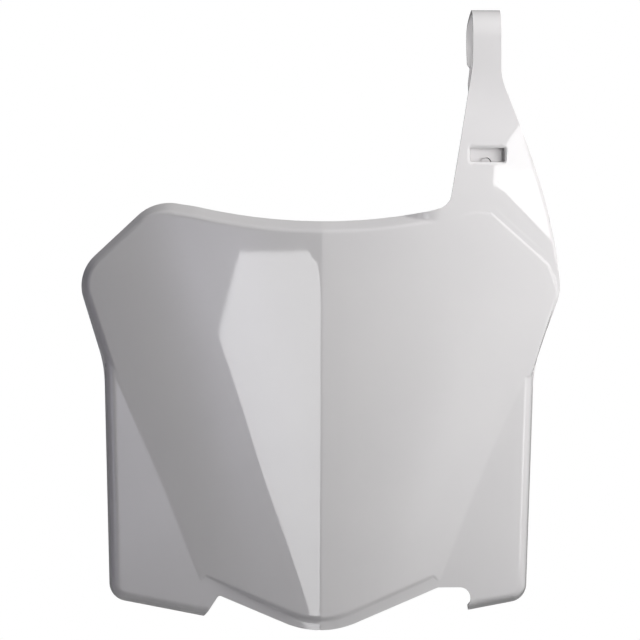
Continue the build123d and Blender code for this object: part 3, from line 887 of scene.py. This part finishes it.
build = bmesh.new()
build.from_mesh(skin)
build.from_mesh(ribbon_mesh)
bmesh.ops.remove_doubles(build, verts=build.verts, dist=WELD * MM)
loose = [v for v in build.verts if not v.link_faces]
bmesh.ops.delete(build, geom=loose, context="VERTS")
bmesh.ops.recalc_face_normals(build, faces=build.faces)
front = max(build.faces, key=lambda f: -f.calc_center_median().y)
if front.normal.y > 0:
    bmesh.ops.reverse_faces(build, faces=build.faces)
for face in build.faces:
    face.smooth = True
moulded = mesh_of(build, "number_board_moulding")
print("welded skin:", len(moulded.polygons), "faces")

# %% Thicken and round
WALL = 2.2
EDGE_ROUND, EDGE_SEGMENTS, EDGE_ANGLE = 0.7, 3, 50.0


def softened(piece, width, segments, angle):
    """A Bevel modifier on the edges that are sharper than an angle in degrees."""
    edge = piece.modifiers.new("Edge", "BEVEL")
    edge.width = width * MM
    edge.segments = segments
    edge.limit_method = "ANGLE"
    edge.angle_limit = math.radians(angle)
    return edge


def dressed(piece, mesh):
    """Give a piece its finished mesh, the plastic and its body."""
    piece.modifiers.clear()
    piece.data = mesh
    piece.data.materials.clear()
    piece.data.materials.append(plastic)
    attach(piece, "root")


board = linked("number_board_moulding", moulded)
wall = board.modifiers.new("Wall", "SOLIDIFY")
wall.thickness = WALL * MM
wall.offset = -1.0
edge = softened(board, EDGE_ROUND, EDGE_SEGMENTS, EDGE_ANGLE)
edge.harden_normals = True
edge.loop_slide = False
finished = baked(board)
print("thickened:", len(finished.vertices), "points,", len(finished.polygons), "faces")

# %% Points that stick out are drawn in
STICKS_OUT = 0.06
PROBE = 0.01


def drawn_in(mesh):
    """Bring edge points that stick out past the board's outline back to it, and count them."""
    places = np.empty(3 * len(mesh.vertices))
    mesh.vertices.foreach_get("co", places)
    places = places.reshape(-1, 3) / MM + BAR_FROM_CHIN
    flat = places[:, [0, 2]]
    below_strap = np.where(flat[:, 1] < NECK_HEIGHT)[0]
    out = below_strap[distance_in(flat[below_strap], board_line) < -STICKS_OUT]
    reach = distance_in(flat[out], board_line)
    across = distance_in(flat[out] + [PROBE, 0], board_line)
    up = distance_in(flat[out] + [0, PROBE], board_line)
    inward = np.column_stack([across - reach, up - reach]) / PROBE
    flat[out] -= inward * reach[:, None]
    places[:, [0, 2]] = flat
    mesh.vertices.foreach_set("co", to_frame(places).ravel())
    mesh.update()
    return len(out)


print("edge points drawn in:", drawn_in(finished))
dressed(board, finished)
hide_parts("number_board")

# %% [markdown]
# ## The bridge, the peg and the lug
# Behind the window a small bridge holds the strap's tail against the arm, and a peg on it goes through
# the tail's hole. Low on the back a plain lug takes a bolt. They are small moulded forms, each drawn as
# a flat shape and pushed up to its height; all but the lug's tongue have rounded edges.

# %% The bridge
BRIDGE_WALL, BRIDGE_BACK, BRIDGE_ROUND = 2.0, 22.0, 0.3
BRIDGE_FOOT, BRIDGE_TOP, BRIDGE_MEETS = 227.2, 243.2, 235.0
SMALL_SEGMENTS, SMALL_ANGLE = 2, 40.0


def pushed(name, flat, way, start, end, rounding):
    """A closed solid from a flat outline, pushed from start to end along one axis, edges rounded."""
    build = bmesh.new()
    low, high = [], []
    for u, v in flat:
        for level, row in ((start, low), (end, high)):
            spot = {"back": (u, level, v), "up": (u, v, level), "across": (level, u, v)}[way]
            row.append(build.verts.new(to_frame(spot)))
    build.faces.new(low)
    build.faces.new(high)
    for i in range(len(low)):
        k = (i + 1) % len(low)
        build.faces.new((low[i], low[k], high[k], high[i]))
    bmesh.ops.recalc_face_normals(build, faces=build.faces)
    bmesh.ops.triangulate(build, faces=[f for f in build.faces if len(f.verts) > 4])
    piece = linked(name, mesh_of(build, name))
    softened(piece, rounding, SMALL_SEGMENTS, SMALL_ANGLE)
    dressed(piece, baked(piece))
    return piece


window_sides = np.array([window_left, window_right])
foot_left, foot_right = arm_depth(window_sides, np.full(2, BRIDGE_MEETS)) + WALL / 2
outer_left, outer_right = window_left - BRIDGE_WALL, window_right + BRIDGE_WALL
inner_back = BRIDGE_BACK - BRIDGE_WALL
bridge_outline = [(outer_left, foot_left), (outer_left, BRIDGE_BACK)]
bridge_outline += [(outer_right, BRIDGE_BACK), (outer_right, foot_right), (window_right, foot_right)]
bridge_outline += [(window_right, inner_back), (window_left, inner_back), (window_left, foot_left)]
bridge = pushed("latch_bridge", bridge_outline, "up", BRIDGE_FOOT, BRIDGE_TOP, BRIDGE_ROUND)
print("bridge", len(bridge.data.polygons), "faces")

# %% The peg
PEG_FRONT, PEG_ROUND, PEG_STEP = 14.2, 0.4, 12
turns = [math.radians(d) for d in range(0, 360, PEG_STEP)]
peg_end = BRIDGE_BACK - BRIDGE_WALL / 2
peg = pushed("latch_peg", circle(PEG, PEG_RADIUS, turns), "back", PEG_FRONT, peg_end, PEG_ROUND)
print("peg", len(peg.data.polygons), "faces")

# %% The lug with its ribs
LUG_HEIGHT, LUG_WIDTH, LUG_THICKNESS = 62.0, 24.0, 3.0
LUG_REACH, LUG_HOLE = 20.0, 3.25
LUG_END_POINTS, LUG_HOLE_POINTS = 25, 32
RIB_THICKNESS, RIB_HEIGHT, RIB_ROUND = 2.2, 16.0, 0.2


def lug_root(x):
    """Depth in the middle of the wall where the lug meets it."""
    return float(face_depth(x, LUG_HEIGHT)) + WALL / 2


half, centre = LUG_WIDTH / 2, (0.0, LUG_REACH)
outer = [(-half, lug_root(half)), (0.0, WALL / 2), (half, lug_root(half))]
outer += circle(centre, half, np.linspace(0, math.pi, LUG_END_POINTS))
hole = circle(centre, LUG_HOLE, np.linspace(0, 2 * math.pi, LUG_HOLE_POINTS, endpoint=False))
spots, faces = triangulated(np.array(outer), np.array(hole), np.empty((0, 2)))
build = bmesh.new()
made = [build.verts.new(to_frame((x, y, LUG_HEIGHT - LUG_THICKNESS / 2))) for x, y in spots]
for f in faces:
    build.faces.new([made[i] for i in f])
grown = bmesh.ops.extrude_face_region(build, geom=build.faces[:])
moved = [v for v in grown["geom"] if isinstance(v, bmesh.types.BMVert)]
bmesh.ops.translate(build, verts=moved, vec=(0, 0, LUG_THICKNESS * MM))
bmesh.ops.recalc_face_normals(build, faces=build.faces)
tongue = linked("lug_tongue", mesh_of(build, "lug_tongue"))
dressed(tongue, tongue.data)
for side, name in ((LUG_WIDTH / 2 - RIB_THICKNESS, "lug_rib_right"), (-LUG_WIDTH / 2, "lug_rib_left")):
    root = lug_root(abs(side))
    triangle = [(root, LUG_HEIGHT), (LUG_REACH, LUG_HEIGHT), (root, LUG_HEIGHT - RIB_HEIGHT)]
    pushed(name, triangle, "across", side, side + RIB_THICKNESS, RIB_ROUND)
print("lug tongue:", len(tongue.data.polygons), "faces")

# %% [markdown]
# ## Floor and surroundings
# The board hangs before plain white with no shadow. A pale floor lies below the view. A white world
# would light the board flatly from all round, so the camera alone sees it white, and the board gets
# only a low glow from below and from behind.

# %% Floor
FLOOR_BELOW, FLOOR_BEHIND, FLOOR_RADIUS = 300.0, 30.0, 420.0
FLOOR_ROUGHNESS = 0.6
bpy.ops.mesh.primitive_circle_add(vertices=96, radius=FLOOR_RADIUS * MM, fill_type="NGON")
floor = bpy.context.object
floor.name = "floor"
floor.location = to_frame((0, FLOOR_BEHIND, -FLOOR_BELOW))
pale = bpy.data.materials.new("pale_floor")
pale.use_nodes = True
look = pale.node_tree.nodes["Principled BSDF"].inputs
look["Base Color"].default_value = linear("#EDEDED")
look["Roughness"].default_value = FLOOR_ROUGHNESS
floor.data.materials.append(pale)
print("floor", round(FLOOR_RADIUS * 2), "mm across")

# %% The white surroundings
GLOW_BELOW, GLOW_BEHIND = 0.17, 0.145
WHITE = linear("#FFFFFF")
world = bpy.data.worlds.new("white_studio")
bpy.context.scene.world = world
add = partial(add_node, cleared(world))
ray = add("ShaderNodeLightPath").outputs["Is Camera Ray"]
towards = add("ShaderNodeTexCoord").outputs["Generated"]
split = add("ShaderNodeSeparateXYZ", {"Vector": towards}).outputs
below, behind = (
    add("ShaderNodeMapRange", {"Value": split[axis], "From Max": end, "To Max": level})
    for axis, end, level in (("Z", -1.0, GLOW_BELOW), ("Y", 1.0, GLOW_BEHIND))
)
glow = add("ShaderNodeMath", {0: below, 1: behind}, operation="ADD")
lit = add("ShaderNodeBackground", {"Color": WHITE, "Strength": glow})
seen = add("ShaderNodeBackground", {"Color": WHITE, "Strength": 1.0})
pick = add("ShaderNodeMixShader", {0: ray, 1: lit, 2: seen})
add("ShaderNodeOutputWorld", {"Surface": pick})
bpy.context.scene.view_settings.view_transform = "Standard"
print("world", world.name)

# %% [markdown]
# ## Softboxes
# A big softbox stands close by on the right, so the board grows brighter from left to right. Smaller
# ones open up the top, the front and the left, and one behind shows the plain back. Only the far ones
# at the sides are mirrored in the gloss, so the reflections on the face can be placed by themselves.

# %% Softboxes: name, azimuth, elevation, metres away, metres across, watts, mirrored, colour
LIT_POINT = Vector(to_frame((0.0, 12.0, 130.0)))
DAYLIGHT, COOL = "#FFFFFF", "#EDEBFF"
SOFTBOXES = [
    ("key_softbox", 65, 10, 0.50, 0.35, 1.365, False, DAYLIGHT),
    ("front_softbox", 35, 30, 0.35, 0.245, 0.231, False, DAYLIGHT),
    ("top_softbox", 30, 75, 0.60, 0.18, 1.23, False, DAYLIGHT),
    ("fill_softbox", 0, 10, 1.50, 0.60, 0.88, False, DAYLIGHT),
    ("side_softbox", 80, 0, 1.50, 1.05, 1.20, True, DAYLIGHT),
    ("left_softbox", -70, 0, 1.20, 0.36, 0.70, True, COOL),
    ("far_left_softbox", -90, 10, 1.20, 0.36, 0.55, True, COOL),
    ("back_softbox", 180, -12, 0.70, 0.16, 0.62, False, DAYLIGHT),
]
BACK_SPREAD = 100.0


def direction(azimuth, elevation):
    """Unit vector from the board, azimuth to the right of straight ahead, in degrees."""
    a, e = math.radians(azimuth), math.radians(elevation)
    return Vector((math.sin(a) * math.cos(e), -math.cos(a) * math.cos(e), math.sin(e)))


for name, azimuth, elevation, distance, size, watts, mirrored, colour in SOFTBOXES:
    light = bpy.data.lights.new(name, "AREA")
    light.shape = "DISK"
    light.size = size
    light.energy = watts
    light.color = linear(colour)[:3]
    lamp = linked(name, light)
    way = direction(azimuth, elevation)
    lamp.location = LIT_POINT + way * distance
    lamp.rotation_euler = way.to_track_quat("Z", "Y").to_euler()
    lamp.visible_camera = False
    lamp.visible_glossy = mirrored
bpy.data.lights["back_softbox"].spread = math.radians(BACK_SPREAD)
print(len(SOFTBOXES), "softboxes")

# %% [markdown]
# ## What the gloss mirrors
# An eight-sided softbox in front shows as the pale patch beside the keel. A tall panel on the right,
# cut to the shape of its reflection, whitens the arm's outer facet. Pale round cards further off give
# the face a soft glow. All are panels that emit light: an area light can't fade or be cut to a shape.

# %% Glowing materials
OCTABOX_GLOW, OCTABOX_RIM, OCTABOX_RADIUS = 6.4, 5.7, 0.22
TALL_GLOW, TALL_RADIUS = 5.6, 0.5


def glowing(name, strength, radius, rim=0.0, colour=DAYLIGHT):
    """An emitting material that fades from its middle to the rim's strength at a radius."""
    material = bpy.data.materials.new(name)
    add = partial(add_node, cleared(material))
    place = add("ShaderNodeTexCoord").outputs["Object"]
    sized = add("ShaderNodeMapping", {"Vector": place, "Scale": [1 / radius] * 3})
    fade = add("ShaderNodeTexGradient", {"Vector": sized}, gradient_type="QUADRATIC_SPHERE")
    level = add("ShaderNodeMapRange", {"Value": fade.outputs["Fac"], "To Min": rim, "To Max": strength})
    shine = add("ShaderNodeEmission", {"Strength": level, "Color": linear(colour)})
    clear = add("ShaderNodeBsdfTransparent")
    both = add("ShaderNodeAddShader", {0: shine, 1: clear})
    add("ShaderNodeOutputMaterial", {"Surface": both})
    return material


octabox_glow = glowing("octabox_glow", OCTABOX_GLOW, OCTABOX_RADIUS, OCTABOX_RIM)
tall_glow = glowing("window_glow", TALL_GLOW, TALL_RADIUS, TALL_GLOW)
print("glowing materials with", len(tall_glow.node_tree.nodes), "nodes each")

# %% The octabox and the tall panel
OCTABOX = [(-122, 33), (-37, 104), (105, 130), (200, 80), (225, -50), (160, -160), (30, -180), (-78, -52)]
OCTABOX_MIDDLE = (-320.0, -1300.0, 70.0)
TALL_LEFT = [(-110, 200), (-110, -60), (-60, -330), (20, -460)]
TALL_RIGHT = [(250, -460), (300, -330), (180, -180), (150, 200)]
TALL_WAY, TALL_DISTANCE = (41, 14), 1.2


def faced(panel, place, way, material):
    """Turn a panel to look back along a way; it lights and is reflected but is not in the picture."""
    panel.location = place
    panel.rotation_euler = way.to_track_quat("Z", "Y").to_euler()
    panel.data.materials.append(material)
    panel.visible_camera = False
    panel.visible_shadow = False


def shaped_panel(name, corners, place, way, material):
    """A flat panel with corners in millimetres across and up."""
    mesh = bpy.data.meshes.new(name)
    mesh.from_pydata([(x * MM, y * MM, 0.0) for x, y in corners], [], [list(range(len(corners)))])
    panel = linked(name, mesh)
    faced(panel, place, way, material)
    return panel


shaped_panel("octabox", OCTABOX, Vector(to_frame(OCTABOX_MIDDLE)), direction(0, 0), octabox_glow)
toward = direction(*TALL_WAY)
tall_corners = TALL_LEFT + TALL_RIGHT
tall_place = LIT_POINT + toward * TALL_DISTANCE
tall_panel = shaped_panel("window_light", tall_corners, tall_place, toward, tall_glow)
tall_panel.visible_diffuse = False
print("octabox and a panel of", len(tall_corners), "corners")

# %% Cards: name, azimuth, elevation, radius in metres, strength, colour
CARD_DISTANCE = 1.7
CARDS = [
    ("card_left", -15, 1, 0.22, 1.76, COOL),
    ("card_left_low", -15, -3, 0.22, 0.74, COOL),
    ("card_far_left", -19, 0, 0.18, 1.63, COOL),
    ("card_far_left_low", -19, -4, 0.18, 1.04, COOL),
    ("card_right", 24, 2, 0.50, 0.62, DAYLIGHT),
    ("card_right_near", 20, -5, 0.25, 0.27, DAYLIGHT),
    ("card_right_low", 27, -5, 0.25, 1.61, DAYLIGHT),
    ("card_far_right", 31, -6, 0.25, 1.40, DAYLIGHT),
]
for name, azimuth, elevation, radius, strength, colour in CARDS:
    bpy.ops.mesh.primitive_circle_add(vertices=48, radius=radius, fill_type="NGON")
    card = bpy.context.object
    card.name = name
    way = direction(azimuth, elevation)
    faced(card, LIT_POINT + way * CARD_DISTANCE, way, glowing(name + "_glow", strength, radius, 0.0, colour))
print(len(CARDS), "cards")

# %% [markdown]
# ## The camera
# The board is seen from well away with a long lens, a little from the left and level with its middle,
# so its sides stay nearly parallel. The lens follows from the width that the square frame shows.

# %% Camera
CAMERA_DISTANCE = 3000.0
CAMERA_YAW, CAMERA_ROLL = -2.5, 0.25
LOOK_AT = (-0.4, 12.0, 154.6)
FRAME_WIDTH = 320.0
SENSOR = 36.0

camera = linked("camera", bpy.data.cameras.new("camera"))
away = direction(CAMERA_YAW, 0)
camera.location = Vector(to_frame(LOOK_AT)) + away * CAMERA_DISTANCE * MM
camera.rotation_euler = (-away).to_track_quat("-Z", "Y").to_euler()
camera.rotation_euler.rotate_axis("Z", math.radians(CAMERA_ROLL))
camera.data.sensor_width = SENSOR
camera.data.lens = SENSOR * CAMERA_DISTANCE / FRAME_WIDTH
bpy.context.scene.camera = camera
print("lens", round(camera.data.lens, 1), "mm")
